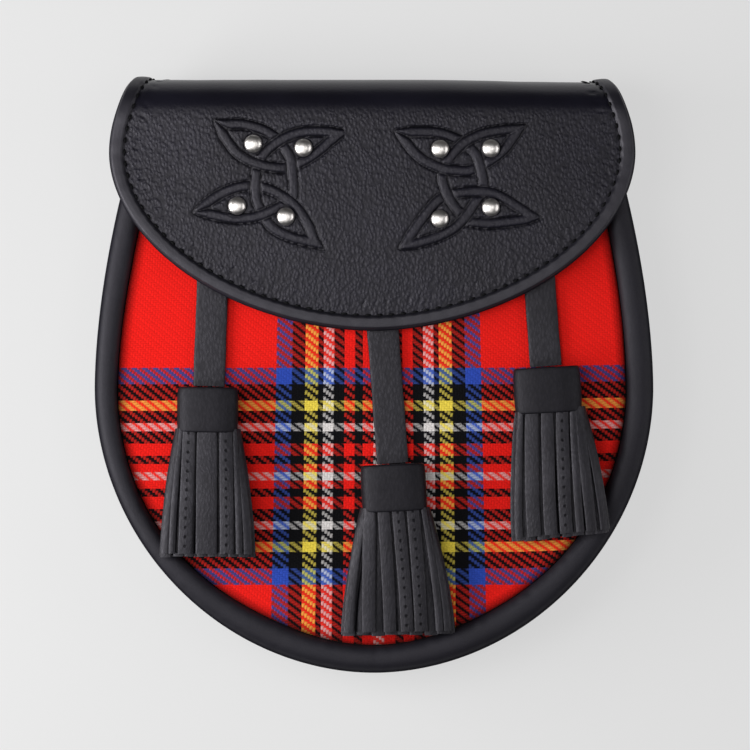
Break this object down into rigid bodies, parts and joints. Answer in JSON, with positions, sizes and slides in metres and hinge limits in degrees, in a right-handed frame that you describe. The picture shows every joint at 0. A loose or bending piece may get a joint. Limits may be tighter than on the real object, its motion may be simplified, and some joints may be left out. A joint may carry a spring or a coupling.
{
  "type": "sporran pouch",
  "caption": "Flat round-bottomed leather pouch with a tartan cloth front, a fold-over studded flap, hanging leather tassels and belt loops on its back.",
  "frame": {"origin": "under the middle of the pouch, on the surface that it lies on", "axes": "+X to the right across the front, +Y up towards the fold of the flap, +Z out of the front face; the pouch lies on its back"},
  "size_m": [0.19, 0.2026, 0.0426],
  "materials": {
    "smooth_leather": "smooth black leather, semi-gloss",
    "grained_leather": "pebble-grained black leather, satin",
    "strap_leather": "fine-grained black leather, matt",
    "tassel_leather": "soft black leather, satin",
    "lining_board": "flesh side of stiff leather board, matt",
    "tartan_cloth": "wool twill in a red tartan, matt",
    "polished_metal": "polished nickel plate"
  },
  "bodies": {
    "root": {"back_panel": "smooth_leather", "band_centre": "tassel_leather", "band_left": "tassel_leather", "band_right": "tassel_leather", "belt_loop_left": "strap_leather", "belt_loop_right": "strap_leather", "flap": "grained_leather", "flap_binding": "smooth_leather", "front_board": "lining_board", "gusset": "smooth_leather", "press_stud": "polished_metal", "rim": "smooth_leather", "strap_centre": "strap_leather", "strap_left": "strap_leather", "strap_right": "strap_leather", "stud_left_1": "polished_metal", "stud_left_2": "polished_metal", "stud_left_3": "polished_metal", "stud_left_4": "polished_metal", "stud_right_1": "polished_metal", "stud_right_2": "polished_metal", "stud_right_3": "polished_metal", "stud_right_4": "polished_metal", "tartan_front": "tartan_cloth", "tassel_centre": "tassel_leather", "tassel_left": "tassel_leather", "tassel_right": "tassel_leather"}
  },
  "joints": []
}
